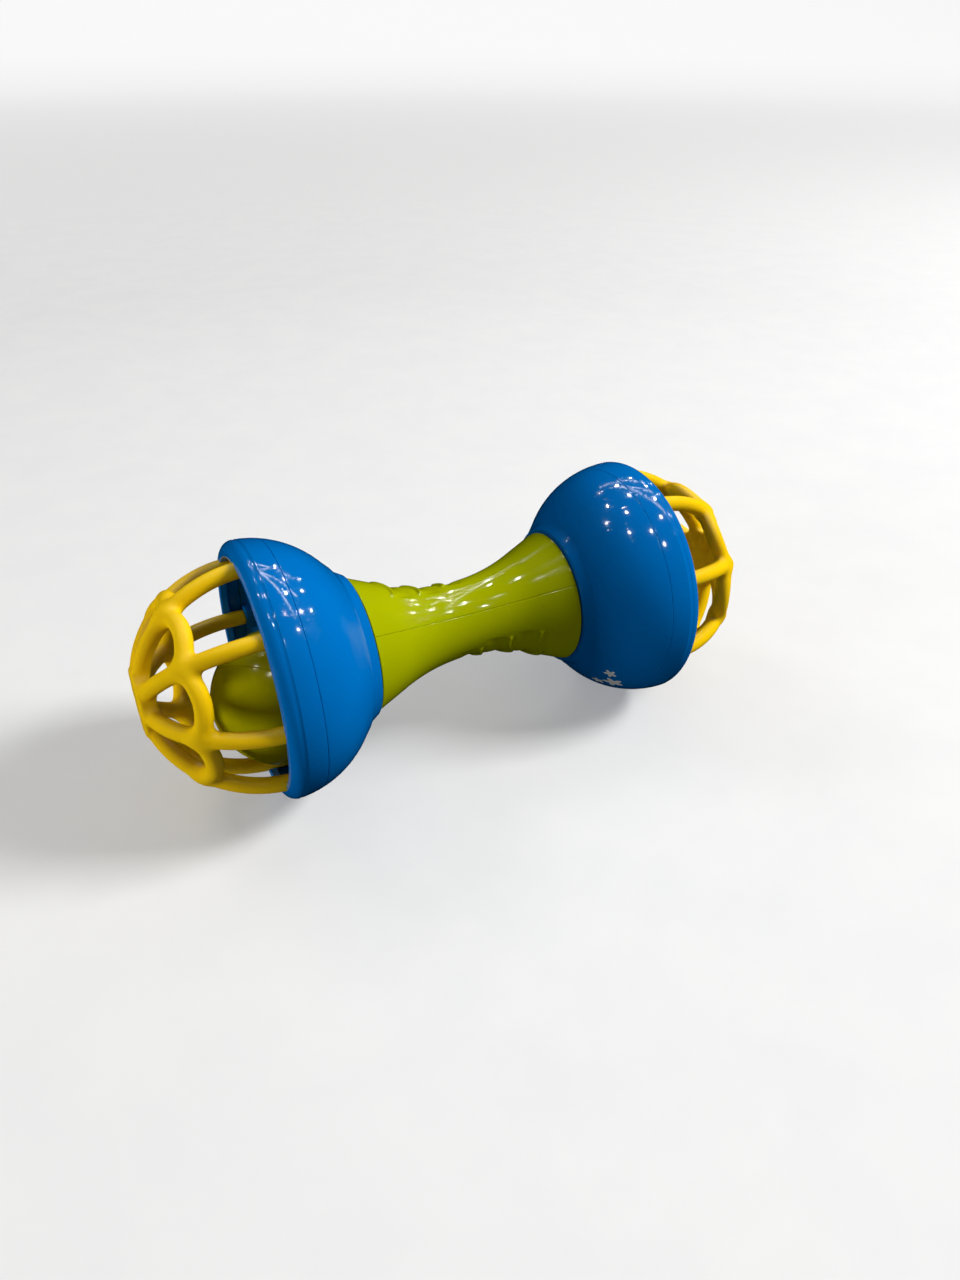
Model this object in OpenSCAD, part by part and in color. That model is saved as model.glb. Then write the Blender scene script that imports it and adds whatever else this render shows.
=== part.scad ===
// Baby rattle: a two-shell grip handle with a cup at each end. Each cup holds a loose hollow
// ball behind a soft domed cage of ribs and petal arches, and each ball holds a few beads.
// X runs along the axis, +Z is up and the two rims rest on z = 0.

/* [Handle] */
// Diameter of the grip at its waist
waist_d = 21; // [19:0.5:22]
// Radius of the hollow curve of the grip, seen from the side
grip_curve = 50; // [46:1:56]
// Length of the handle between the two cups
handle_len = 58; // [57:0.5:58.4]
// Wall thickness of the handle shells
shell_wall = 2.2; // [1.8:0.1:2.4]
// Angle of the seam between the shells, about the axis
seam_angle = 141.5; // [0:0.5:180]
// Height of the raised grip ridges
ridge_rise = 0.5; // [0.3:0.1:0.8]

/* [Cups] */
// Largest diameter of a cup
cup_d = 68; // [66:1:70]
// Distance from the middle of the rattle to the front of a cup's lip
rim_x = 57.7; // [57:0.1:58.5]
// Wall thickness of a cup
cup_wall = 2.3; // [2:0.1:2.4]
// Radius of the round lip of a rim ring
lip_r = 3.1; // [2.6:0.1:3.4]
// Inside diameter of the lip
lip_in_d = 60.2; // [59:0.1:61]

/* [Cages] */
// Radius of the sphere that the rib centre lines lie on
cage_r = 29.4; // [29:0.1:29.6]
// Thickness of a rib
rib_d = 4.2; // [3.8:0.1:4.4]
// Angle from the cage's tip to the corners where rib and arches meet
corner_angle = 46; // [43:1:49]
// Angle from the cage's tip to the crest of an arch
crest_angle = 52; // [49:1:56]
// Diameter of the round patch at the cage's tip
hub_d = 17; // [15:0.5:20]
// Distance from the middle of the rattle to the flat face of a cage's tip
tip_x = 86; // [85.8:0.1:86.3]
// Turn of the left cage's first rib, about the axis
left_cage_turn = 131.8; // [0:0.1:360]
// Turn of the right cage's first rib, about the axis
right_cage_turn = 155; // [0:0.1:360]

/* [Balls] */
// Diameter of a ball
ball_d = 36.3; // [34:0.1:36.6]
// Wall thickness of a ball
ball_wall = 1.8; // [1.4:0.1:2.2]
// Distance of a resting ball from the middle of the rattle
ball_x = 51.2; // [50.8:0.1:52]
// How far a resting ball lies under the axis
ball_drop = 8.4; // [7:0.1:8.5]
// How far a resting ball lies beside the axis
ball_side = 1.4; // [0:0.1:1.6]
// Turn of the left ball's seam about the vertical
seam_turn = 49; // [0:1:180]
// Tilt of a ball's seam from level
seam_tilt = 59; // [0:1:90]
// Diameter of a bead inside a ball
bead_d = 3.2; // [2.4:0.1:3.4]

/* [Hidden] */
$fn = 96;

lime = [0.62, 0.68, 0.02];
blue = [0.02, 0.36, 0.72];
yellow = [0.93, 0.74, 0.06];
bead_red = [0.85, 0.2, 0.15];

cup_r = cup_d / 2;
axis_z = cup_r;
slack = 0.05;
curve_step = 0.9;

// Handle: a hollow arc of revolution that runs on straight towards its two ends
arc_end_x = 19.5;
end_x = handle_len / 2;
arc_rise = grip_curve - sqrt(grip_curve * grip_curve - arc_end_x * arc_end_x);
end_slope = arc_end_x / (grip_curve - arc_rise);
neck_r = 11.8;
flange_r = 13.9;
flange_x = [24.6, 26.6];
trap_web = 1.7;
trap_gap = 0.3;
peg_at = [7, 5.4];
peg_r = 1.25;
peg_len = 3;
boss_r = 2.3;
boss_len = 6.4;
// Ridges on each shell: place along the axis and half of the angle that they span
ridge_x = [3.2, 11.75, 19.7];
ridge_half_span = [28.5, 46.5, 50.5];
ridge_r = 1.1;

// Cup: a flare that runs into a bowl, closed by a rim ring with a round lip
shoulder_x = 29.4;
bowl_arc = 26.4;
bowl_c = [55.3, cup_r - bowl_arc];
flare_arc = 50;
flare_end_x = 35.5;
ring_x = 48.6;
spigot_x = 52;
spigot_wall = 1.15;
collar_r = 19.3;
collar_end_x = 32.1;
collar_rise = 0.6;
floor_x = 31.4;
neck_end_x = 21;
neck_bore_r = 9.6;
lip_c = [rim_x - lip_r, cup_r - lip_r];
lip_back_x = rim_x - 2.3;
lip_end = asin((lip_in_d / 2 - lip_c[1]) / lip_r);
crown_x = lip_c[0];

// Cage: torus arcs on one sphere, with pegs that stand in bosses of the cup
ribs = 8;
cage_x = 54.7;
rib_r = rib_d / 2;
arch_r = rib_r - 0.15;
rib_foot_x = 52;
foot_angle = asin((rib_foot_x - cage_x) / cage_r);
rib_top_angle = 80;
foot_r = cage_r * cos(foot_angle);
notch_r = rib_r + 0.2;
socket_r = 1.25;
foot_peg_r = 1.2;
foot_peg_len = 2.6;
boss_x = 48;
boss_w = 5.6;
boss_in_r = 27.2;

ball_r = ball_d / 2;
ball_in_r = ball_r - ball_wall;
lap_r = ball_in_r + ball_wall / 2;
lap_h = 1.2;
bead_r = bead_d / 2;
bead_orbit = ball_in_r - bead_r - 0.3;
bead_spread = 15;

function handle_r(x) = abs(x) < arc_end_x
    ? waist_d / 2 + grip_curve - sqrt(grip_curve * grip_curve - x * x)
    : waist_d / 2 + arc_rise + end_slope * (abs(x) - arc_end_x);

function bowl_r(x) = bowl_c[1] + sqrt(bowl_arc * bowl_arc - pow(x - bowl_c[0], 2));
flare_joint = [flare_end_x, bowl_r(flare_end_x)];
flare_c = flare_joint + (flare_joint - bowl_c) * flare_arc / bowl_arc;
function flare_r(x) = flare_c[1] - sqrt(flare_arc * flare_arc - pow(x - flare_c[0], 2));
function cup_out_r(x) = x < flare_end_x ? flare_r(x) : bowl_r(x);
// Slope of the cup's outside, which thickens the wall where the cup flares
function cup_slope(x) = (cup_out_r(x + 0.05) - cup_out_r(x - 0.05)) / 0.1;
function cup_in_r(x) = cup_out_r(x) - cup_wall * sqrt(1 + pow(cup_slope(x), 2));

// Evenly spaced values from a to b
function spaced(a, b, step) = let (n = ceil(abs(b - a) / step)) [for (i = [0:n]) a + (b - a) * i / n];

// Puts a shape made round Z onto the rattle's axis, turned so that its +X side faces angle
module on_axis(angle = 0) {
    translate([0, 0, axis_z]) rotate([0, 90, 0]) rotate([0, 0, angle + 90]) children();
}

// Revolves a list of [radius, place along the axis]
module revolve(points) {
    rotate_extrude() polygon(points);
}

// ---- Handle ----

module handle_tube() {
    stations = spaced(-end_x, end_x, curve_step);
    revolve(concat([for (x = stations) [handle_r(x), x]],
        [for (i = [len(stations) - 1:-1:0]) [handle_r(stations[i]) - shell_wall, stations[i]]]));
}

// Two webs at each end of the handle hold the flange of a cup's neck between them
module neck_traps() {
    for (side = [-1, 1])
        for (x = [flange_x[0] - trap_gap - trap_web, flange_x[1] + trap_gap])
            revolve([[neck_r + trap_gap, side * x], [handle_r(x) - shell_wall / 2, side * x],
                [handle_r(x) - shell_wall / 2, side * (x + trap_web)],
                [neck_r + trap_gap, side * (x + trap_web)]]);
}

module ridges(end) {
    for (i = [0:2])
        rotate([0, 0, -ridge_half_span[i]])
            rotate_extrude(angle = 2 * ridge_half_span[i])
                translate([handle_r(ridge_x[i]) + ridge_rise - ridge_r, end * ridge_x[i]])
                    circle(r = ridge_r, $fn = 32);
}

module half_space() {
    size = 2 * (end_x + 5);
    translate([0, -size / 2, -size / 2]) cube(size);
}

module at_pegs() {
    for (x = [-1, 1], y = [-1, 1])
        translate([0, y * peg_at[1], x * peg_at[0]]) rotate([0, 90, 0]) children();
}

module half_shell(end) {
    intersection() {
        union() {
            handle_tube();
            neck_traps();
        }
        half_space();
    }
    at_pegs() cylinder(r = boss_r, h = boss_len);
    ridges(end);
}

module handle_shell_upper() {
    color(lime) on_axis(seam_angle - 90) difference() {
        half_shell(-1);
        at_pegs() translate([0, 0, -1]) cylinder(r = peg_r + slack, h = peg_len + 1.2, $fn = 32);
    }
}

module handle_shell_lower() {
    color(lime) on_axis(seam_angle + 90) {
        half_shell(1);
        at_pegs() translate([0, 0, -peg_len]) cylinder(r = peg_r, h = peg_len + 1, $fn = 32);
    }
}

// ---- Cups ----

module cup_profile() {
    outside = spaced(collar_end_x + 1.3, ring_x, curve_step);
    spigot = spaced(ring_x, spigot_x, curve_step);
    inside = spaced(spigot_x, floor_x + 2, curve_step);
    revolve(concat(
        [[0, shoulder_x], [neck_bore_r, shoulder_x], [neck_bore_r, neck_end_x],
            [neck_r, neck_end_x], [neck_r, flange_x[0]], [flange_r, flange_x[0]],
            [flange_r, flange_x[1]], [neck_r, flange_x[1]], [neck_r, shoulder_x],
            [collar_r, shoulder_x],
            [collar_r + collar_rise * (collar_end_x - shoulder_x), collar_end_x]],
        [for (x = outside) [cup_out_r(x), x]],
        [for (x = spigot) [cup_out_r(x) - spigot_wall, x]],
        [for (x = inside) [cup_in_r(x), x]],
        [[cup_in_r(floor_x + 2) - 2, floor_x], [0, floor_x]]));
}

// Bosses inside the cup, one behind each rib, with a blind socket for the rib's peg
module cup(turn) {
    color(blue) on_axis(turn) difference() {
        union() {
            cup_profile();
            for (i = [0:ribs - 1])
                rotate([0, 0, i * 360 / ribs])
                    translate([boss_in_r, -boss_w / 2, boss_x])
                        cube([cup_out_r(boss_x) - spigot_wall - 0.4 - boss_in_r, boss_w,
                            spigot_x - boss_x]);
        }
        for (i = [0:ribs - 1])
            rotate([0, 0, i * 360 / ribs])
                translate([foot_r, 0, spigot_x - foot_peg_len - 0.2])
                    cylinder(r = socket_r, h = foot_peg_len + 1, $fn = 32);
    }
}

module rim_ring(turn) {
    outside = spaced(ring_x, crown_x, curve_step);
    over_spigot = spaced(spigot_x + 0.1, ring_x, curve_step);
    inner_r = cup_r - cup_wall;
    color(blue) on_axis(turn) difference() {
        revolve(concat(
            [for (x = outside) [cup_out_r(x), x]],
            [for (a = spaced(80, lip_end, 10)) [lip_c[1] + lip_r * sin(a), lip_c[0] + lip_r * cos(a)]],
            [[lip_in_d / 2, lip_back_x], [inner_r, lip_back_x], [inner_r, spigot_x + 0.1]],
            [for (x = over_spigot) [cup_out_r(x) - spigot_wall + slack, x]]));
        for (i = [0:ribs - 1])
            rotate([0, 0, i * 360 / ribs])
                translate([foot_r, 0, crown_x - 1]) cylinder(r = notch_r, h = lip_r + 2, $fn = 48);
    }
}

// ---- Cages ----

// Rib in the plane of Z and +X, from its foot behind the lip to the patch at the tip
module rib() {
    translate([0, 0, cage_x]) rotate([90, 0, 0]) rotate([0, 0, foot_angle])
        rotate_extrude(angle = rib_top_angle - foot_angle)
            translate([cage_r, 0]) circle(r = rib_r, $fn = 32);
    translate([foot_r, 0, rib_foot_x - foot_peg_len])
        cylinder(r = foot_peg_r, h = foot_peg_len + 1, $fn = 32);
}

// Arch between two ribs: the arc of a circle on the cage's sphere through two corners and a crest
module arch() {
    half = 180 / ribs;
    mid = cage_r * [sin(corner_angle) * cos(half), cos(corner_angle)];
    crest = cage_r * [sin(crest_angle), cos(crest_angle)];
    lean = atan2(mid[1] - crest[1], crest[0] - mid[0]);
    axis = [sin(lean), cos(lean)];
    away = axis * crest;
    arc_r = sqrt(cage_r * cage_r - away * away);
    sweep = asin(cage_r * sin(corner_angle) * sin(half) / arc_r);
    translate([0, 0, cage_x]) rotate([0, 0, half]) rotate([0, lean, 0])
        translate([0, 0, away]) rotate([0, 0, -sweep])
            rotate_extrude(angle = 2 * sweep) translate([arc_r, 0]) circle(r = arch_r, $fn = 32);
}

// Round patch with a flat face, which the ribs run into
module hub() {
    translate([0, 0, cage_x]) difference() {
        intersection() {
            sphere(r = cage_r + rib_r + 0.6);
            cylinder(r = hub_d / 2, h = tip_x - cage_x);
        }
        sphere(r = cage_r - rib_r + 0.4);
    }
}

module cage(turn) {
    color(yellow) on_axis(turn) union() {
        for (i = [0:ribs - 1])
            rotate([0, 0, i * 360 / ribs]) {
                rib();
                arch();
            }
        hub();
    }
}

// ---- Balls ----

// Puts a shape at the rest place of the ball; the right one is the left one turned half round
module at_ball(end) {
    rotate([0, 0, end > 0 ? 180 : 0])
        translate([-ball_x, -ball_side, axis_z - ball_drop]) children();
}

module half_ball(side) {
    intersection() {
        difference() {
            sphere(r = ball_r);
            sphere(r = ball_in_r);
        }
        translate([-ball_r - 1, -ball_r - 1, side > 0 ? 0 : -ball_r - 1])
            cube([2 * ball_r + 2, 2 * ball_r + 2, ball_r + 1]);
    }
}

// The front half has a rebate inside its edge, which the back half's lap stands in
module ball_front_half(end) {
    color(lime) at_ball(end) rotate([0, seam_tilt, seam_turn]) difference() {
        half_ball(1);
        translate([0, 0, -1]) cylinder(r = lap_r + slack, h = lap_h + 1 + slack);
    }
}

module ball_back_half(end) {
    color(lime) at_ball(end) rotate([0, seam_tilt, seam_turn]) {
        half_ball(-1);
        translate([0, 0, -0.5]) difference() {
            cylinder(r = lap_r, h = lap_h + 0.5);
            translate([0, 0, -1]) cylinder(r = ball_in_r + 0.05, h = lap_h + 3);
        }
    }
}

// One bead at the bottom of the ball, six round it and twelve round those
module beads(end) {
    color(bead_red) at_ball(end)
        for (ring = [0:2], i = [0:max(1, 6 * ring) - 1])
            rotate([0, 0, i * 360 / max(1, 6 * ring)]) rotate([0, ring * bead_spread, 0])
                translate([0, 0, -bead_orbit]) sphere(r = bead_r, $fn = 24);
}

module left() { mirror([1, 0, 0]) children(); }

module left_cup() { left() cup(left_cage_turn); }
module right_cup() { cup(right_cage_turn); }
module left_rim_ring() { left() rim_ring(left_cage_turn); }
module right_rim_ring() { rim_ring(right_cage_turn); }
module left_cage() { left() cage(left_cage_turn); }
module right_cage() { cage(right_cage_turn); }
module left_ball_front_half() { ball_front_half(-1); }
module left_ball_back_half() { ball_back_half(-1); }
module left_ball_beads() { beads(-1); }
module right_ball_front_half() { ball_front_half(1); }
module right_ball_back_half() { ball_back_half(1); }
module right_ball_beads() { beads(1); }

handle_shell_upper();
handle_shell_lower();
left_cup();
right_cup();
left_rim_ring();
right_rim_ring();
left_cage();
right_cage();
left_ball_front_half();
left_ball_back_half();
left_ball_beads();
right_ball_front_half();
right_ball_back_half();
right_ball_beads();
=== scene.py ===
import math
import bpy
import bmesh
import numpy as np
from mathutils import Matrix, Vector


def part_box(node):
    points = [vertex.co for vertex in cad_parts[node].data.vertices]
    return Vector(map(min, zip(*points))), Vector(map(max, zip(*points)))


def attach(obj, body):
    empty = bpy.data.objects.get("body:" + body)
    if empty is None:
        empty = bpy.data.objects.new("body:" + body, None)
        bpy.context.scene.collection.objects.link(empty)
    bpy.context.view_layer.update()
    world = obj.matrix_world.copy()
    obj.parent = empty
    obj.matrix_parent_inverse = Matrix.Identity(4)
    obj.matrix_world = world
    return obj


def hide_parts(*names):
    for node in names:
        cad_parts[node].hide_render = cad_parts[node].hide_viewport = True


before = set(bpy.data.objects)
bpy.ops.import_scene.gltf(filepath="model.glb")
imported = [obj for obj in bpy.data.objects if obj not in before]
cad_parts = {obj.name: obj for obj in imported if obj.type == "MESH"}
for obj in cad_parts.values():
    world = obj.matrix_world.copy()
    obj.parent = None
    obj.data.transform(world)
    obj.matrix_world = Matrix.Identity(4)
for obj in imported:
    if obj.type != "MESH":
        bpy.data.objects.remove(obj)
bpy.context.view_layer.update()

MM = 0.001
SIDES = {"left": -1, "right": 1}


def span(*nodes):
    """Lowest and highest corner, in millimetres, of some CAD nodes taken together."""
    corners = np.array([tuple(c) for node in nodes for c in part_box(node)]) / MM
    return corners.min(0), corners.max(0)


# ---- Sizes in millimetres, from the frame where it gives them ----

ring_lo, ring_hi = span("right_rim_ring")
CUP_R = (ring_hi[2] - ring_lo[2]) / 2
AXIS_Z = (ring_hi[2] + ring_lo[2]) / 2
RIM_X = ring_hi[0]
RING_X = ring_lo[0]
HANDLE_END = span("handle_shell_upper")[1][0]

# Handle: half shells whose outline is an arc as far as ARC_END and straight beyond it, with raised
# ridges, each given as its place along the axis, half the angle that it spans, and how far it bows
# along the axis
WAIST_R = 10.5
GRIP_CURVE = 50.0
ARC_END = 19.5
SHELL_WALL = 2.2
SEAM_ANGLE = 141.5
SEAM_ROUND = 0.22
HANDLE_STEP = 0.28
RIDGES = ((3.4, 29, 0.6), (11.8, 45, 1.25), (19.8, 51, 1.25))
RIDGE_RISE = 0.55
RIDGE_WIDTH = 0.6
RIDGE_FADE = 6
BOW_SPREAD = 0.76
# The dips beside a ridge: depth, place from the ridge, and width
DIPS = ((0.18, 1.25, 0.45), (0.42, -3.4, 1.9))

# Cups: a flare that runs into a bowl, closed by a rim ring with a round lip. BOSS_IN_R is how far
# the blocks behind the ribs' feet stay from the axis, and RING_EASE the ring's play on the spigot.
SHOULDER_X = HANDLE_END + 0.4
BOWL_ARC = 26.4
BOWL_C = (55.3, CUP_R - BOWL_ARC)
FLARE_ARC = 50.0
FLARE_END = 35.5
CUP_WALL = 2.3
SPIGOT_X = 52.0
SPIGOT_WALL = 1.15
COLLAR_R = 19.35
COLLAR_END = 32.1
COLLAR_RISE = 0.62
COLLAR_RUN = 1.3
FLOOR_X = 31.4
FLOOR_WALL = 2.0
FLOOR_COVE = 2.0
NECK_R = 11.8
NECK_BORE_R = 9.4
NECK_END = 21.0
NECK_ROUND = 0.3
BOSS_X = 48.0
BOSS_W = 5.6
BOSS_IN_R = 27.2
BOSS_SINK = 1.6
BOSS_ROUND = 0.35
RING_EASE = 0.05
LIP_R = 3.1
LIP_C = (RIM_X - LIP_R, CUP_R - LIP_R)
LIP_IN_R = 30.1
LIP_STEP = 0.14
LIP_START = math.radians(84)
LIP_BACK = RIM_X - 2.3
PART_ROUND = 0.18
CUP_SEGMENTS = 224
RING_SEGMENTS = 320

# Cages: ribs and arches on one sphere, stretched along the axis to reach TIP_X. DOME_RISE is the
# tip's height over the sphere's middle before that. An arch leaves its ribs at CORNER and has its
# middle at CREST, as angles from the tip, and a rib stands at the angle in TURNS. The webs round
# the corners between parts. The hub is the patch at the tip: its radius across, and how far out and
# in it reaches. The net's points within FOOT_FLAT of the feet stay where they are, and FAR is a
# distance that no other one exceeds.
RIBS = 8
RIB_R = 2.1
ARCH_R = 2.15
CAGE_R = 29.4
CAGE_X = 54.7
CORNER = math.radians(46)
CREST = math.radians(52)
TIP_X = {"left": 86.2, "right": 85.6}
DOME_RISE = 30.8
HUB_R = 8.5
HUB_CROWN = 32.0
HUB_IN = 27.7
FOOT_X = 52.0
FOOT_EASE = 0.02
FOOT_FLAT = 0.3
RIB_WEB = 1.3
ARCH_WEB = 2.2
EDGE_ROUND = 1.0
TIP_ROUND = 0.5
TURNS = {"left": 131.8, "right": 155.0}
CAGE_STEP = 0.44
CAGE_MARGIN = 1.5
FOOT_MARGIN = 1.2
FAR = 1e3

# Print on the right cup: place along the axis, angle about it, and reach of each star
PRINT_STARS = ((40.2, 226, 3.2), (37.6, 216, 2.0), (38.0, 235, 2.0))
STAR_POINTS = 5
STAR_SEGMENTS = 80
STAR_WAIST = 0.45
STAR_SHARP = 1.6
INK_TOP = 0.05
INK_ROOT = -0.12
# Loops of the ink: how far out each lies, as a part of the star, and its height over the cup
INK_LOOPS = ((0.3, INK_TOP), (0.6, INK_TOP), (0.85, 0.045), (0.97, 0.03), (1.0, -0.02),
             (0.9, INK_ROOT))

# Balls: BALL_EASE makes them that much smaller in radius than in the frame, to stay clear of the
# cages' webs at the end of their travel
SEAM_TURN = 49.0
SEAM_TILT = 59.0
BALL_WALL = 1.8
BALL_EASE = 0.15
BALL_EDGE = 0.03
BALL_STEP = 0.035
BALL_SEGMENTS = 160


# ---- Meshes ----

def mesh_object(name, points, faces, slot_name, body, *stands_for):
    """A smooth mesh from points in millimetres, which rides on a body in place of CAD nodes."""
    mesh = bpy.data.meshes.new(name)
    mesh.from_pydata((np.asarray(points, float) * MM).tolist(), [], faces)
    mesh.shade_smooth()
    obj = bpy.data.objects.new(name, mesh)
    bpy.context.scene.collection.objects.link(obj)
    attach(obj, body)
    if stands_for:
        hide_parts(*stands_for)
    return obj


def rounded(outline, support=0.12, steps=5):
    """A closed outline of (x, r, fillet) corners as (x, r) points, with each corner rounded.

    A point at the distance support from each end of a rounding keeps the flat parts flat when
    they are shaded smooth.
    """
    out = []
    count = len(outline)
    for i, (x, r, fillet) in enumerate(outline):
        here = np.array([x, r], float)
        if fillet <= 0:
            out.append(here)
            continue
        before = np.array(outline[i - 1][:2], float) - here
        after = np.array(outline[(i + 1) % count][:2], float) - here
        u, v = before / np.linalg.norm(before), after / np.linalg.norm(after)
        half = math.acos(np.clip(u @ v, -1, 1)) / 2
        room = 0.45 * min(np.linalg.norm(before), np.linalg.norm(after))
        reach = min(fillet / math.tan(half), room)
        radius = reach * math.tan(half)
        centre = here + (u + v) / np.linalg.norm(u + v) * radius / math.sin(half)
        start, end = here + u * reach, here + v * reach
        out.append(start + u * support)
        a, b = start - centre, end - centre
        turn = math.acos(np.clip(a @ b / radius ** 2, -1, 1))
        for k in range(steps + 1):
            t = k / steps
            on_arc = math.sin((1 - t) * turn) * a + math.sin(t * turn) * b
            out.append(centre + on_arc / math.sin(turn))
        out.append(end + v * support)
    return np.array(out)


def ring_faces(loops, size, close_loops, close_size):
    """Quads between loops of equal size, laid out one after another."""
    faces = []
    for i in range(loops if close_loops else loops - 1):
        j = (i + 1) % loops
        for k in range(size if close_size else size - 1):
            m = (k + 1) % size
            faces.append((i * size + k, i * size + m, j * size + m, j * size + k))
    return faces


def revolve(outline, segments):
    """Points and faces of a closed (x, r) outline turned about the rattle's axis."""
    angles = np.linspace(0, 2 * math.pi, segments, endpoint=False)
    x, r = outline[:, 0], np.maximum(outline[:, 1], 0)
    points = np.stack([np.tile(x, (segments, 1)), np.outer(np.cos(angles), r),
                       AXIS_Z + np.outer(np.sin(angles), r)], -1)
    return points.reshape(-1, 3), ring_faces(segments, len(outline), True, True)


def to_side(points, faces, side):
    """The right end's mesh as it is, or mirrored for the left end."""
    if side > 0:
        return points, faces
    return points * np.array([-1, 1, 1]), [f[::-1] for f in faces]


def tidy(obj, join=0.004 * MM):
    """Joins points that fall together, drops empty faces and turns the normals outward."""
    bm = bmesh.new()
    bm.from_mesh(obj.data)
    bmesh.ops.remove_doubles(bm, verts=bm.verts, dist=join)
    bmesh.ops.dissolve_degenerate(bm, dist=join, edges=bm.edges)
    bmesh.ops.recalc_face_normals(bm, faces=bm.faces)
    bm.to_mesh(obj.data)
    bm.free()
    obj.data.shade_smooth()


def spaced(a, b, step):
    """Even numbers from a to b, no further apart than step."""
    return np.linspace(a, b, max(2, int(math.ceil(abs(b - a) / step)) + 1))


# ---- Handle ----

def handle_r(x):
    """Outside radius of the grip at x: a hollow arc that runs on straight towards its ends."""
    x = np.abs(x)
    drop = math.sqrt(GRIP_CURVE ** 2 - ARC_END ** 2)
    arc = WAIST_R + GRIP_CURVE - np.sqrt(GRIP_CURVE ** 2 - np.minimum(x, ARC_END) ** 2)
    return arc + np.maximum(x - ARC_END, 0) * ARC_END / drop


def ridge_height(x, phi, end):
    """How far the grip ridges lift the surface at x, phi degrees from the shell's crown."""
    lift = np.zeros(np.broadcast(x, phi).shape)
    for place, half_span, bow in RIDGES:
        line = place + bow * np.cos(np.pi * phi / (BOW_SPREAD * half_span))
        d = end * x - line
        fade = np.clip((half_span - np.abs(phi)) / RIDGE_FADE, 0, 1)
        fade = fade * fade * (3 - 2 * fade)
        profile = RIDGE_RISE * np.exp(-(d / RIDGE_WIDTH) ** 2)
        for depth, beside, width in DIPS:
            profile -= depth * np.exp(-((d - beside) / width) ** 2)
        lift += fade * profile
    return lift


def edge_drop(distance, radius):
    """How far a surface falls away at an edge with a small rounding."""
    inside = np.clip(radius - distance, 0, radius)
    return radius - np.sqrt(radius ** 2 - inside ** 2)


def handle_shell(name, crown, end):
    """A half shell: one closed loop across the wall for each place along the axis."""
    # Points lie closer together at the seam, in degrees, and at the ends, in millimetres
    near_edge = np.array([0, 0.12, 0.3, 0.6, 1.0, 1.6])
    phi = np.concatenate([near_edge - 90, np.linspace(-87, 87, 150), 90 - near_edge[::-1]])
    near_end = np.array([0, 0.04, 0.1, 0.18, 0.3])
    between = spaced(0.5 - HANDLE_END, HANDLE_END - 0.5, HANDLE_STEP)
    xs = np.concatenate([near_end - HANDLE_END, between, HANDLE_END - near_end[::-1]])
    X, PHI = np.meshgrid(xs, phi, indexing="ij")
    base = handle_r(X)
    seam_distance = np.radians(90 - np.abs(PHI)) * base
    outer = base + ridge_height(X, PHI, end)
    outer -= edge_drop(seam_distance, SEAM_ROUND) + edge_drop(HANDLE_END - np.abs(X), SEAM_ROUND)
    inner = base - SHELL_WALL
    angle = np.radians(crown + np.concatenate([PHI, PHI[:, ::-1]], 1))
    radius = np.concatenate([outer, inner[:, ::-1]], 1)
    along = np.concatenate([X, X], 1)
    points = np.stack([along, radius * np.cos(angle), AXIS_Z + radius * np.sin(angle)], -1)
    size, half = radius.shape[1], len(phi)
    faces = ring_faces(len(xs), size, False, True)
    # The end faces, between the outer and the inner surface
    for row in (0, (len(xs) - 1) * size):
        for k in range(half - 1):
            faces.append((row + k, row + k + 1, row + size - 2 - k, row + size - 1 - k))
    obj = mesh_object(name, points.reshape(-1, 3), faces, "handle_plastic", "shell", name)
    tidy(obj)
    return obj


# ---- Cups and rim rings ----

def bowl_r(x):
    """Outside radius of a cup's bowl at x."""
    return BOWL_C[1] + math.sqrt(BOWL_ARC ** 2 - (x - BOWL_C[0]) ** 2)


joint = np.array([FLARE_END, bowl_r(FLARE_END)])
FLARE_C = joint + (joint - np.array(BOWL_C)) * FLARE_ARC / BOWL_ARC


def cup_out(x):
    """Outside radius of a cup at x, from the flare into the bowl."""
    if x < FLARE_END:
        return FLARE_C[1] - math.sqrt(FLARE_ARC ** 2 - (x - FLARE_C[0]) ** 2)
    return bowl_r(x)


def cup_slant(x, reach=0.05):
    """Length of a cup's outside for each millimetre along the axis, about x."""
    slope = (cup_out(x + reach) - cup_out(x - reach)) / (2 * reach)
    return math.sqrt(1 + slope ** 2)


def cup_in(x):
    """Inside radius of a cup at x, a wall's thickness in from the outside."""
    return cup_out(x) - CUP_WALL * cup_slant(x)


def smooth_run(function, a, b, step=0.7):
    """Outline points along a curve, with no fillets."""
    return [(x, function(x), 0) for x in spaced(a, b, step)]


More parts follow.
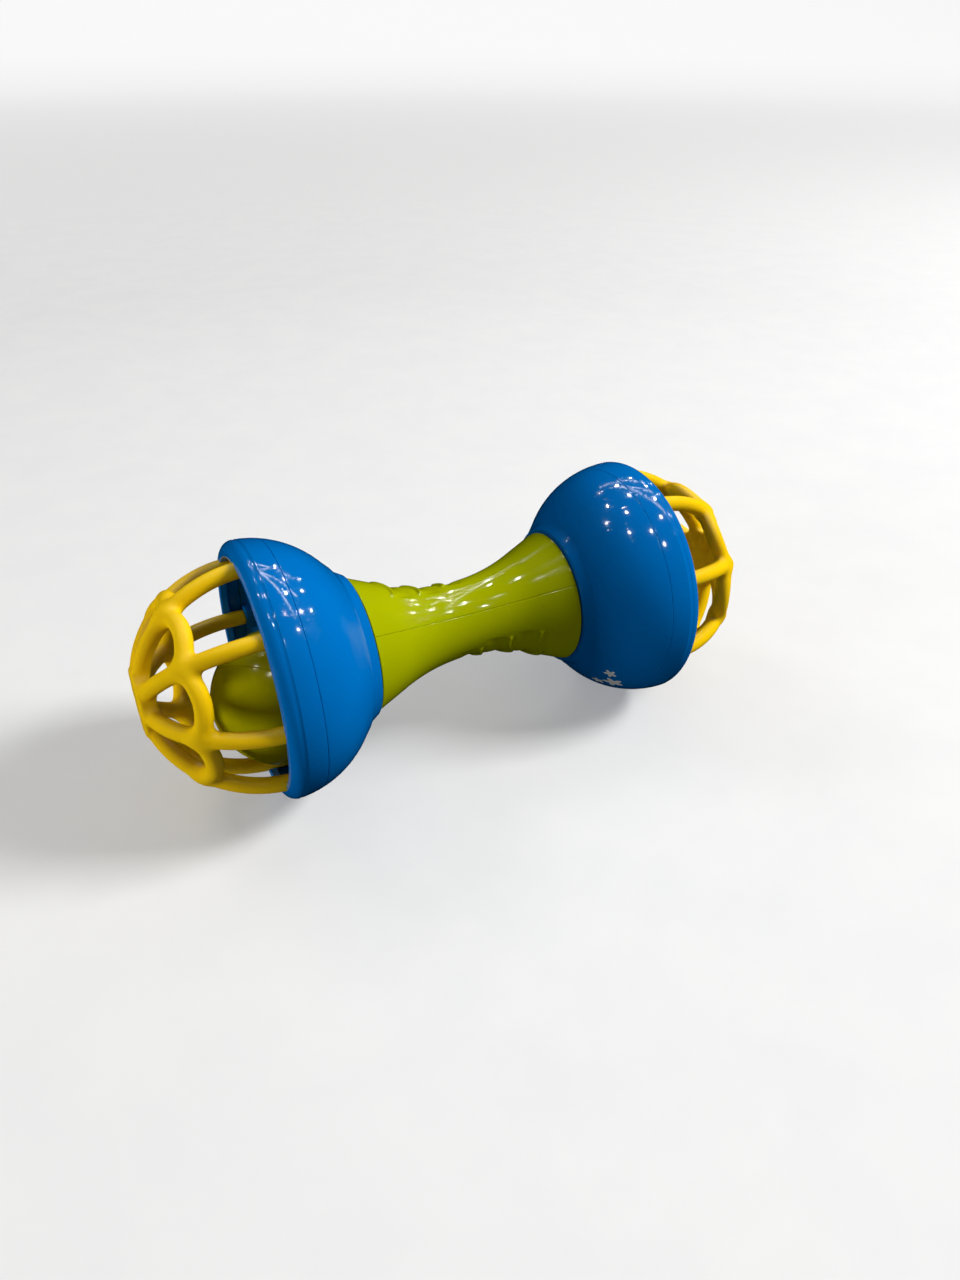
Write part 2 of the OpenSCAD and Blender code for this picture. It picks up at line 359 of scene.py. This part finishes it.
def cup(end):
    """A cup: the revolved wall with its neck, floor and collar, and eight blocks inside it."""
    side = SIDES[end]
    outline = [(FLOOR_X - FLOOR_WALL, 0, 0), (FLOOR_X - FLOOR_WALL, NECK_BORE_R, NECK_ROUND),
               (NECK_END, NECK_BORE_R, NECK_ROUND), (NECK_END, NECK_R, NECK_ROUND),
               (SHOULDER_X, NECK_R, NECK_ROUND)]
    collar_top = COLLAR_R + COLLAR_RISE * (COLLAR_END - SHOULDER_X)
    outline += [(SHOULDER_X, COLLAR_R, 0.4), (COLLAR_END, collar_top, 0.9)]
    outline += smooth_run(cup_out, COLLAR_END + COLLAR_RUN, RING_X - 0.5)
    outline += [(RING_X, cup_out(RING_X), PART_ROUND)]
    outline += [(RING_X, cup_out(RING_X) - SPIGOT_WALL, 0)]
    outline += [(SPIGOT_X, cup_out(SPIGOT_X) - SPIGOT_WALL, 0.2)]
    outline += [(SPIGOT_X, cup_in(SPIGOT_X), 0.2)]
    outline += smooth_run(cup_in, SPIGOT_X - 0.7, FLOOR_X + FLOOR_COVE + 0.2)
    outline += [(FLOOR_X, cup_in(FLOOR_X + FLOOR_COVE) - FLOOR_COVE, 0.8), (FLOOR_X, 0, 0)]
    points, faces = to_side(*revolve(rounded(outline), CUP_SEGMENTS), side)
    points, faces = list(points), list(faces)
    for i in range(RIBS):
        more, quads = boss_block(TURNS[end] + i * 360 / RIBS, side)
        faces += [tuple(k + len(points) for k in q) for q in quads]
        points += more
    obj = mesh_object(f"{end}_cup", points, faces, "cup_plastic", "shell", f"{end}_cup")
    tidy(obj)
    return obj


def boss_block(angle, side):
    """A rounded block on the cup's wall, behind the foot of a rib."""
    bm = bmesh.new()
    bmesh.ops.create_cube(bm, size=1)
    reach = cup_out(BOSS_X) - BOSS_SINK - BOSS_IN_R
    for v in bm.verts:
        v.co = Vector((v.co.x * (SPIGOT_X - BOSS_X), v.co.y * BOSS_W, v.co.z * reach))
    bmesh.ops.bevel(bm, geom=bm.edges[:], offset=BOSS_ROUND, segments=3, profile=0.5,
                    affect="EDGES")
    turn = Matrix.Rotation(math.radians(90 - angle * side), 3, "X")
    for v in bm.verts:
        place = turn @ (v.co + Vector((0, 0, BOSS_IN_R + reach / 2)))
        v.co = Vector((side * (place.x + (SPIGOT_X + BOSS_X) / 2), place.y, place.z + AXIS_Z))
    bmesh.ops.recalc_face_normals(bm, faces=bm.faces)
    points = [tuple(v.co) for v in bm.verts]
    faces = [tuple(v.index for v in f.verts) for f in bm.faces]
    bm.free()
    return points, faces


def rim_ring(end):
    """The band in front of a cup's parting line, with the round lip that holds the cage."""
    side = SIDES[end]
    crown = LIP_C[0]
    lip_end = math.asin((LIP_IN_R - LIP_C[1]) / LIP_R)
    outline = [(RING_X, cup_out(RING_X), PART_ROUND)]
    outline += smooth_run(cup_out, RING_X + 0.5, crown - 1.0)
    # A fine step where the band meets the round lip
    outline += [(crown - 0.75, cup_out(crown - 0.75), 0)]
    outline += [(crown - 0.6, cup_out(crown - 0.6) - LIP_STEP, 0)]
    for a in spaced(LIP_START, lip_end + 0.16, 0.09):
        outline.append((LIP_C[0] + LIP_R * math.cos(a), LIP_C[1] + LIP_R * math.sin(a), 0))
    outline += [(LIP_C[0] + LIP_R * math.cos(lip_end), LIP_IN_R, 0.3), (LIP_BACK, LIP_IN_R, 0.4)]
    inside = SPIGOT_X + 2 * RING_EASE
    outline += [(LIP_BACK, CUP_R - CUP_WALL, 0.4), (inside, CUP_R - CUP_WALL, 0.1)]
    outline += [(inside, cup_out(SPIGOT_X) - SPIGOT_WALL + RING_EASE, 0)]
    outline += [(RING_X, cup_out(RING_X) - SPIGOT_WALL + RING_EASE, 0)]
    points, faces = to_side(*revolve(rounded(outline), RING_SEGMENTS), side)
    obj = mesh_object(f"{end}_rim_ring", points, faces, "cup_plastic", "shell", f"{end}_rim_ring")
    tidy(obj)
    return obj


def star_print(name, x0, angle, reach):
    """A thin star of white ink on the right cup, whose rim sinks just under the surface."""
    turn = np.linspace(0, 2 * math.pi, STAR_SEGMENTS, endpoint=False)
    wave = np.abs(np.cos(STAR_POINTS * turn / 2)) ** STAR_SHARP
    edge = reach * (STAR_WAIST + (1 - STAR_WAIST) * wave)
    squash = 1 / cup_slant(x0, 0.5)

    def place(part, lift):
        x = x0 + part * edge * np.cos(turn) * squash
        theta = math.radians(angle) + part * edge * np.sin(turn) / cup_out(x0)
        r = np.array([cup_out(v) for v in x]) + lift
        return np.stack([x, r * np.cos(theta), AXIS_Z + r * np.sin(theta)], -1)

    loops = [place(part, lift) for part, lift in INK_LOOPS]
    points = np.concatenate(loops + [place(0, lift)[:1] for lift in (INK_TOP, INK_ROOT)])
    faces = ring_faces(len(loops), STAR_SEGMENTS, False, True)
    top, low = len(points) - 2, len(points) - 1
    last = (len(loops) - 1) * STAR_SEGMENTS
    for k in range(STAR_SEGMENTS):
        m = (k + 1) % STAR_SEGMENTS
        faces.append((k, top, m))
        faces.append((last + k, last + m, low))
    obj = mesh_object(name, points, faces, "cup_plastic", "shell")
    tidy(obj)
    return obj


# ---- Cages: a distance field whose ribs, arches and tip run into each other with webs ----

def smooth_min(a, b, k):
    """The smaller of two distances, with a fillet about k wide where they meet."""
    h = np.maximum(k - np.abs(a - b), 0) / k
    return np.minimum(a, b) - h * h * k / 4


def smooth_max(a, b, k):
    """The larger of two distances, with its corner rounded in the same way."""
    return -smooth_min(-a, -b, k)


def arc_on_sphere():
    """Axis, distance and radius of an arch's circle, and half the angle that the arch spans."""
    half = math.pi / RIBS
    mid = CAGE_R * np.array([math.sin(CORNER) * math.cos(half), math.cos(CORNER)])
    crest = CAGE_R * np.array([math.sin(CREST), math.cos(CREST)])
    lean = math.atan2(mid[1] - crest[1], crest[0] - mid[0])
    axis = np.array([math.sin(lean), math.cos(lean)])
    away = axis @ crest
    radius = math.sqrt(CAGE_R ** 2 - away ** 2)
    sweep = math.asin(CAGE_R * math.sin(CORNER) * math.sin(half) / radius)
    return axis, away, radius, sweep


ARCH_AXIS, ARCH_AWAY, ARCH_ARC, ARCH_SWEEP = arc_on_sphere()


def cage_distance(points, turn, stretch):
    """Signed distance, in millimetres, from points in the right cage's frame to its surface."""
    w = (points[:, 0] - CAGE_X) / stretch
    y, z = points[:, 1], points[:, 2]
    r = np.hypot(y, z)
    theta = np.arctan2(z, y) - math.radians(turn)
    pitch = 2 * math.pi / RIBS
    fold = (theta + pitch / 2) % pitch - pitch / 2

    def rib(t):
        """Distance to a rib whose plane is at an angle t."""
        ring = np.hypot(np.hypot(r * np.cos(t), w) - CAGE_R, r * np.sin(t))
        return np.where(r * np.cos(t) > -1, ring, FAR) - RIB_R

    def arch(t):
        """Distance to an arch whose middle is at an angle t."""
        out, across = r * np.cos(t), r * np.sin(t)
        along = out * ARCH_AXIS[0] + w * ARCH_AXIS[1] - ARCH_AWAY
        flat = out * ARCH_AXIS[1] - w * ARCH_AXIS[0]
        turned = np.abs(np.arctan2(across, flat))
        ring = np.hypot(np.hypot(flat, across) - ARCH_ARC, along)
        end = np.array([ARCH_ARC * math.cos(ARCH_SWEEP), ARCH_ARC * math.sin(ARCH_SWEEP)])
        to_end = np.sqrt((flat - end[0]) ** 2 + (np.abs(across) - end[1]) ** 2 + along ** 2)
        return np.where(turned < ARCH_SWEEP, ring, to_end) - ARCH_R

    other = fold - np.where(fold > 0, pitch, -pitch)
    ribs = smooth_min(rib(fold), rib(other), RIB_WEB)
    arches = np.minimum(arch(fold - pitch / 2), arch(fold + pitch / 2))
    out = np.hypot(r, w)
    hub = smooth_max(smooth_max(w - DOME_RISE, HUB_IN - out, EDGE_ROUND),
                     smooth_max(r - HUB_R, out - HUB_CROWN, EDGE_ROUND), EDGE_ROUND)
    d = smooth_min(smooth_min(ribs, arches, ARCH_WEB), np.where(w > 0, hub, FAR), RIB_WEB)
    d = smooth_max(d, w - DOME_RISE, TIP_ROUND)
    return np.maximum(d, FOOT_X + FOOT_EASE - points[:, 0])


def surface_net(distance, low, high, step):
    """Points and quads of the zero surface of a distance function inside a box."""
    axes = [np.arange(a, b + step, step) for a, b in zip(low, high)]
    grid = np.stack(np.meshgrid(*axes, indexing="ij"), -1)
    shape = grid.shape[:3]
    field = distance(grid.reshape(-1, 3)).reshape(shape)
    inside = field < 0
    cell_shape = tuple(n - 1 for n in shape)
    total, count = np.zeros(cell_shape + (3,)), np.zeros(cell_shape)
    corner = [slice(0, -1), slice(1, None)]
    for axis in range(3):
        lo = [slice(None)] * 3
        hi = [slice(None)] * 3
        lo[axis], hi[axis] = corner
        a, b = field[tuple(lo)], field[tuple(hi)]
        crossed = (a < 0) != (b < 0)
        t = np.where(crossed, a / np.where(crossed, a - b, 1), 0)
        place = grid[tuple(lo)].copy()
        place[..., axis] += t * step
        others = [k for k in range(3) if k != axis]
        for p in (0, 1):
            for q in (0, 1):
                pick = [slice(None)] * 3
                pick[others[0]], pick[others[1]] = corner[p], corner[q]
                hit = crossed[tuple(pick)]
                total += place[tuple(pick)] * hit[..., None]
                count += hit
    # A cell's point is the mean of the crossings on its edges
    live = count > 0
    index = np.full(cell_shape, -1)
    index[live] = np.arange(live.sum())
    points = total[live] / count[live][:, None]
    # The four cells round a crossed edge are the corners of a quad
    quads = []
    for axis in range(3):
        u, v = [k for k in range(3) if k != axis]
        lo = [slice(1, -1)] * 3
        hi = [slice(1, -1)] * 3
        lo[axis], hi[axis] = slice(0, -1), slice(1, None)
        a, b = inside[tuple(lo)], inside[tuple(hi)]

        def cells(du, dv):
            """Number of the point in each cell beside the crossed edges."""
            pick = [None] * 3
            pick[axis] = slice(0, None)
            pick[u] = slice(1 - du, (None if du == 0 else -1))
            pick[v] = slice(1 - dv, (None if dv == 0 else -1))
            return index[tuple(pick)]

        ring = np.stack([cells(1, 1), cells(0, 1), cells(0, 0), cells(1, 0)], -1)
        flip = axis == 1
        quads.append(ring[a & ~b][:, ::-1 if flip else 1])
        quads.append(ring[b & ~a][:, ::1 if flip else -1])
    return points, np.concatenate(quads)


def settle(distance, points, rounds=3, nudge=0.02, least=0.2):
    """Moves points onto the zero surface along the distance's slope."""
    for _ in range(rounds):
        d = distance(points)
        slope = np.stack([(distance(points + step) - d) / nudge for step in np.eye(3) * nudge], -1)
        size = np.maximum((slope ** 2).sum(1), least)
        points = points - slope * (d / size)[:, None]
    return points


def cage(end):
    """A cage: the net of its distance field, settled onto the surface except at the flat feet."""
    side = SIDES[end]
    turn = TURNS[end]
    stretch = (TIP_X[end] - CAGE_X) / DOME_RISE

    def distance(p):
        return cage_distance(p, turn, stretch)

    reach = CAGE_R + RIB_R + CAGE_MARGIN
    low = (FOOT_X - FOOT_MARGIN, -reach, -reach)
    high = (CAGE_X + reach, reach, reach)
    points, quads = surface_net(distance, low, high, CAGE_STEP)
    body = points[:, 0] > FOOT_X + FOOT_FLAT
    points[body] = settle(distance, points[body])
    points = points + np.array([0, 0, AXIS_Z])
    points, faces = to_side(points, [tuple(q) for q in quads.tolist()], side)
    return mesh_object(f"{end}_cage", points, faces, "cage_rubber", "shell", f"{end}_cage")


# ---- Balls ----

def half_ball(end, which):
    """A half shell of the ball with a rounded edge, so that the seam shows as a fine line."""
    lo, hi = span(f"{end}_ball_front_half", f"{end}_ball_back_half")
    centre = (lo + hi) / 2
    radius = (hi[2] - lo[2]) / 2 - BALL_EASE
    sign = 1 if which == "front" else -1
    inner_r = radius - BALL_WALL
    angles = spaced(BALL_EDGE, math.pi / 2, BALL_STEP)
    outline = [(radius * math.cos(a), radius * math.sin(a), 0) for a in angles[::-1]]
    outline += [(radius, 0.0, 0.16), (inner_r, 0.0, 0.1)]
    outline += [(inner_r * math.cos(a), inner_r * math.sin(a), 0) for a in angles]
    flat = rounded(outline)
    turns = np.linspace(0, 2 * math.pi, BALL_SEGMENTS, endpoint=False)
    points = np.stack([np.outer(np.cos(turns), np.maximum(flat[:, 0], 0)),
                       np.outer(np.sin(turns), np.maximum(flat[:, 0], 0)),
                       np.tile(sign * flat[:, 1], (BALL_SEGMENTS, 1))], -1).reshape(-1, 3)
    faces = ring_faces(BALL_SEGMENTS, len(flat), True, True)
    flip = math.pi if end == "right" else 0
    turn = (Matrix.Rotation(flip, 3, "Z") @ Matrix.Rotation(math.radians(SEAM_TURN), 3, "Z")
            @ Matrix.Rotation(math.radians(SEAM_TILT), 3, "Y"))
    points = points @ np.array(turn).T + centre
    name = f"{end}_ball_{which}_half"
    obj = mesh_object(name, points, faces, "ball_plastic", f"{end}_ball", name)
    tidy(obj)
    return obj


# ---- Materials: noise scales are per metre, and depths in metres ----

TONE_SCALE = 38.0
SMUDGE_SCALE = 90.0
GRAIN_SCALE = 900.0
GRAIN_DEPTH = 0.00012
SCRATCH_TURN = (0.5, 0.3, 0.9)
SCRATCH_SCALE = (60.0, 900.0, 900.0)
SCRATCH_DEPTH = 0.0002
# How far red, green and blue light spreads under the surface, in metres, and a factor on it
SPREAD = (0.004, 0.003, 0.0008)
SPREAD_SCALE = 0.5


def node(tree, kind, **inputs):
    """A new shader node with some of its inputs set."""
    made = tree.nodes.new(kind)
    for name, value in inputs.items():
        made.inputs[name.replace("_", " ")].default_value = value
    return made


def noise(tree, scale, detail=3.0, roughness=0.55):
    """The value of a noise in the object's own coordinates, in metres."""
    made = node(tree, "ShaderNodeTexNoise", Scale=scale, Detail=detail, Roughness=roughness)
    place = tree.nodes.new("ShaderNodeTexCoord")
    tree.links.new(place.outputs["Object"], made.inputs["Vector"])
    return made.outputs["Fac"]


def remap(tree, value, low, high, from_low=0.35, from_high=0.65):
    """A value spread over a new range; the old one is a noise's middle unless it is given."""
    made = tree.nodes.new("ShaderNodeMapRange")
    made.inputs["From Min"].default_value = from_low
    made.inputs["From Max"].default_value = from_high
    made.inputs["To Min"].default_value = low
    made.inputs["To Max"].default_value = high
    tree.links.new(value, made.inputs["Value"])
    return made.outputs["Result"]


def blend(tree, factor, first, second):
    """A colour between two, by a factor."""
    made = tree.nodes.new("ShaderNodeMix")
    made.data_type = "RGBA"
    made.inputs["A"].default_value = (*first, 1)
    made.inputs["B"].default_value = (*second, 1)
    tree.links.new(factor, made.inputs["Factor"])
    return made.outputs["Result"]


def scratches(tree):
    """Faint, long, thin marks: noise drawn out along a slanting direction."""
    place = tree.nodes.new("ShaderNodeTexCoord")
    stretch = node(tree, "ShaderNodeMapping", Rotation=SCRATCH_TURN, Scale=SCRATCH_SCALE)
    made = node(tree, "ShaderNodeTexNoise", Scale=1.0, Detail=2.0)
    tree.links.new(place.outputs["Object"], stretch.inputs["Vector"])
    tree.links.new(stretch.outputs["Vector"], made.inputs["Vector"])
    return remap(tree, made.outputs["Fac"], 0, 1, 0.6, 0.8)


def moulded(name, first, second, smooth, worn, grain, scuffs=0.0, subsurface=0.0, specular=0.5):
    """A moulded plastic: drifting tone, smudged gloss, a faint grain and fine scratches.

    The tone lies between two colours and the roughness between smooth and worn.
    """
    material = bpy.data.materials.new(name)
    material.use_nodes = True
    tree = material.node_tree
    principled = tree.nodes["Principled BSDF"]
    tone = blend(tree, remap(tree, noise(tree, TONE_SCALE), 0, 1), first, second)
    tree.links.new(tone, principled.inputs["Base Color"])
    smudge = remap(tree, noise(tree, SMUDGE_SCALE, detail=5.0), smooth, worn)
    tree.links.new(smudge, principled.inputs["Roughness"])
    bump = node(tree, "ShaderNodeBump", Strength=grain, Distance=GRAIN_DEPTH)
    tree.links.new(noise(tree, GRAIN_SCALE, detail=2.0), bump.inputs["Height"])
    scuff = node(tree, "ShaderNodeBump", Strength=scuffs, Distance=SCRATCH_DEPTH)
    tree.links.new(scratches(tree), scuff.inputs["Height"])
    tree.links.new(bump.outputs["Normal"], scuff.inputs["Normal"])
    tree.links.new(scuff.outputs["Normal"], principled.inputs["Normal"])
    principled.inputs["Specular IOR Level"].default_value = specular
    principled.inputs["Subsurface Weight"].default_value = subsurface
    principled.inputs["Subsurface Radius"].default_value = SPREAD
    principled.inputs["Subsurface Scale"].default_value = SPREAD_SCALE
    return material


def paint(obj, material):
    """Gives the whole object one material."""
    obj.data.materials.clear()
    obj.data.materials.append(material)
    for face in obj.data.polygons:
        face.material_index = 0


# ---- The rattle ----

lime = moulded("lime_plastic", (0.38, 0.42, 0.0), (0.42, 0.46, 0.0),
               smooth=0.06, worn=0.12, grain=0.08, scuffs=0.12, specular=0.4)
# The balls' lime plastic, painted darker and more olive than the handle's to stand for the shade
# they sit in inside the cups
ball_painted_shade_lime = moulded("ball_painted_shade_lime_plastic", (0.36, 0.345, 0.0), (0.39, 0.37, 0.0),
                    smooth=0.1, worn=0.17, grain=0.08, scuffs=0.1, specular=0.3)
blue = moulded("blue_plastic", (0.0, 0.15, 0.5), (0.0, 0.165, 0.54),
               smooth=0.05, worn=0.1, grain=0.06, scuffs=0.15, specular=0.4)
yellow = moulded("yellow_rubber", (0.98, 0.6, 0.0), (1.0, 0.64, 0.0),
                 smooth=0.36, worn=0.46, grain=0.2, subsurface=0.12, specular=0.25)
white_ink = moulded("white_ink", (0.8, 0.8, 0.78), (0.86, 0.86, 0.84),
                    smooth=0.3, worn=0.45, grain=0.1)
bead_red = moulded("red_bead_plastic", (0.6, 0.04, 0.02), (0.66, 0.06, 0.03),
                   smooth=0.3, worn=0.4, grain=0.1)

paint(handle_shell("handle_shell_upper", SEAM_ANGLE - 90, -1), lime)
paint(handle_shell("handle_shell_lower", SEAM_ANGLE + 90, 1), lime)
for i, (x, angle, reach) in enumerate(PRINT_STARS):
    paint(star_print(f"cup_print_star_{i + 1}", x, angle, reach), white_ink)
for end in SIDES:
    paint(cup(end), blue)
    paint(rim_ring(end), blue)
    paint(cage(end), yellow)
    paint(half_ball(end, "front"), ball_painted_shade_lime)
    paint(half_ball(end, "back"), ball_painted_shade_lime)
    paint(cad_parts[f"{end}_ball_beads"], bead_red)


# ---- Floor, light and camera, in metres ----

FLOOR_SEGMENTS = 96
FLOOR_R = 1.9
SWEEP_R = 0.9
WALL_TOP = 2.6
# The floor's glow near the rattle and far out, and the distances between which it grows
GLOW = (0.3, 0.8)
GLOW_REACH = (0.5, 2.2)

# Soft lights: place, size and power in watts
SOFT_LIGHTS = {
    "key": ((1.1, -0.38, 0.96), (0.45, 0.45), 26),
    "fill": ((-0.6, -1.0, 0.9), (0.8, 0.8), 0.25),
    "back": ((-0.5, 0.8, 1.0), (0.6, 0.3), 3),
    "left": ((-0.75, -0.065, 0.09), (0.15, 0.15), 2.4),
}
# Small lights that only gloss shows: spots laid out in a spiral, and long strips
LIGHTS_Z = 0.85
SPOTS = 18
SPOT_TURN = 2.4
SPOT_STEP = 0.19
SPOT_MIDDLE = (0.3, 0.15)
SPOT_SIZE = (0.028, 0.028)
SPOT_POWER = 0.5
STRIP_X = 0.35
STRIPS_Y = (0.15, 0.4, 0.7)
STRIP_SIZE = (0.8, 0.012)
STRIP_POWER = 0.7
SKY_STRENGTH = 0.14

CAMERA_PLACE = (-0.0925, -0.2017, 0.1797)
CAMERA_TARGET = (0.0044, -0.0057, 0.0294)
CAMERA_ROLL = 0.45
CAMERA_LENS = 26.955


def floor():
    """A round pale floor whose edge sweeps up into a wall, which softens the horizon."""
    profile = [(r, 0.0) for r in np.linspace(0.1, FLOOR_R, 12)]
    profile += [(FLOOR_R + SWEEP_R * math.sin(a), SWEEP_R - SWEEP_R * math.cos(a))
                for a in np.linspace(0.1, math.pi / 2, 14)]
    profile.append((FLOOR_R + SWEEP_R, WALL_TOP))
    angles = np.linspace(0, 2 * math.pi, FLOOR_SEGMENTS, endpoint=False)
    points = [(r * math.cos(a), r * math.sin(a), z) for a in angles for r, z in profile]
    faces = ring_faces(FLOOR_SEGMENTS, len(profile), True, False)
    faces.append(tuple(i * len(profile) for i in range(FLOOR_SEGMENTS)))
    mesh = bpy.data.meshes.new("floor")
    mesh.from_pydata(points, [], faces)
    mesh.shade_smooth()
    obj = bpy.data.objects.new("floor", mesh)
    bpy.context.scene.collection.objects.link(obj)
    # The floor neither lights the rattle nor shows in its gloss
    obj.visible_glossy = False
    obj.visible_diffuse = False
    paper = moulded("pale_paper", (0.55, 0.55, 0.55), (0.57, 0.57, 0.565),
                    smooth=0.6, worn=0.7, grain=0.05)
    principled = paper.node_tree.nodes["Principled BSDF"]
    principled.inputs["Emission Color"].default_value = (1, 1, 1, 1)
    place = paper.node_tree.nodes.new("ShaderNodeTexCoord")
    reach = paper.node_tree.nodes.new("ShaderNodeVectorMath")
    reach.operation = "LENGTH"
    paper.node_tree.links.new(place.outputs["Object"], reach.inputs[0])
    glow = remap(paper.node_tree, reach.outputs["Value"], *GLOW, *GLOW_REACH)
    paper.node_tree.links.new(glow, principled.inputs["Emission Strength"])
    paint(obj, paper)


def aim(obj, place, target):
    """Puts a light or camera at a place, looking at a target."""
    obj.location = place
    obj.rotation_euler = (Vector(target) - Vector(place)).to_track_quat("-Z", "Y").to_euler()


def lamp(name, place, size, power, mirrored=False):
    """A rectangular light aimed at the rattle. A mirrored one shows only in gloss, others never."""
    data = bpy.data.lights.new(name, "AREA")
    data.shape = "RECTANGLE"
    data.size, data.size_y = size
    data.energy = power
    obj = bpy.data.objects.new(name, data)
    bpy.context.scene.collection.objects.link(obj)
    aim(obj, place, (0, 0, AXIS_Z * MM))
    obj.visible_glossy = mirrored
    obj.visible_diffuse = not mirrored


def camera():
    """The photograph's view: from above, a little to the left, with hardly any roll."""
    data = bpy.data.cameras.new("camera")
    data.sensor_width = 36
    data.lens = CAMERA_LENS
    data.clip_start = 0.01
    obj = bpy.data.objects.new("camera", data)
    bpy.context.scene.collection.objects.link(obj)
    aim(obj, CAMERA_PLACE, CAMERA_TARGET)
    obj.rotation_euler.rotate_axis("Z", math.radians(CAMERA_ROLL))
    bpy.context.scene.camera = obj


def daylight():
    """An even white sky that lights surfaces but doesn't show in their gloss."""
    world = bpy.data.worlds.new("studio")
    bpy.context.scene.world = world
    world.use_nodes = True
    world.cycles_visibility.glossy = False
    world.node_tree.nodes["Background"].inputs["Color"].default_value = (1, 1, 1, 1)
    world.node_tree.nodes["Background"].inputs["Strength"].default_value = SKY_STRENGTH


floor()
daylight()
for name, (place, extent, power) in SOFT_LIGHTS.items():
    lamp(name, place, extent, power)
for i in range(SPOTS):
    turn, reach = SPOT_TURN * i, SPOT_STEP * math.sqrt(i + 0.5)
    x, y = SPOT_MIDDLE[0] + reach * math.cos(turn), SPOT_MIDDLE[1] + reach * math.sin(turn)
    lamp(f"spot_{i}", (x, y, LIGHTS_Z), SPOT_SIZE, SPOT_POWER, mirrored=True)
for i, y in enumerate(STRIPS_Y):
    lamp(f"strip_{i}", (STRIP_X, y, LIGHTS_Z), STRIP_SIZE, STRIP_POWER, mirrored=True)
camera()
bpy.context.scene.view_settings.view_transform = "Standard"
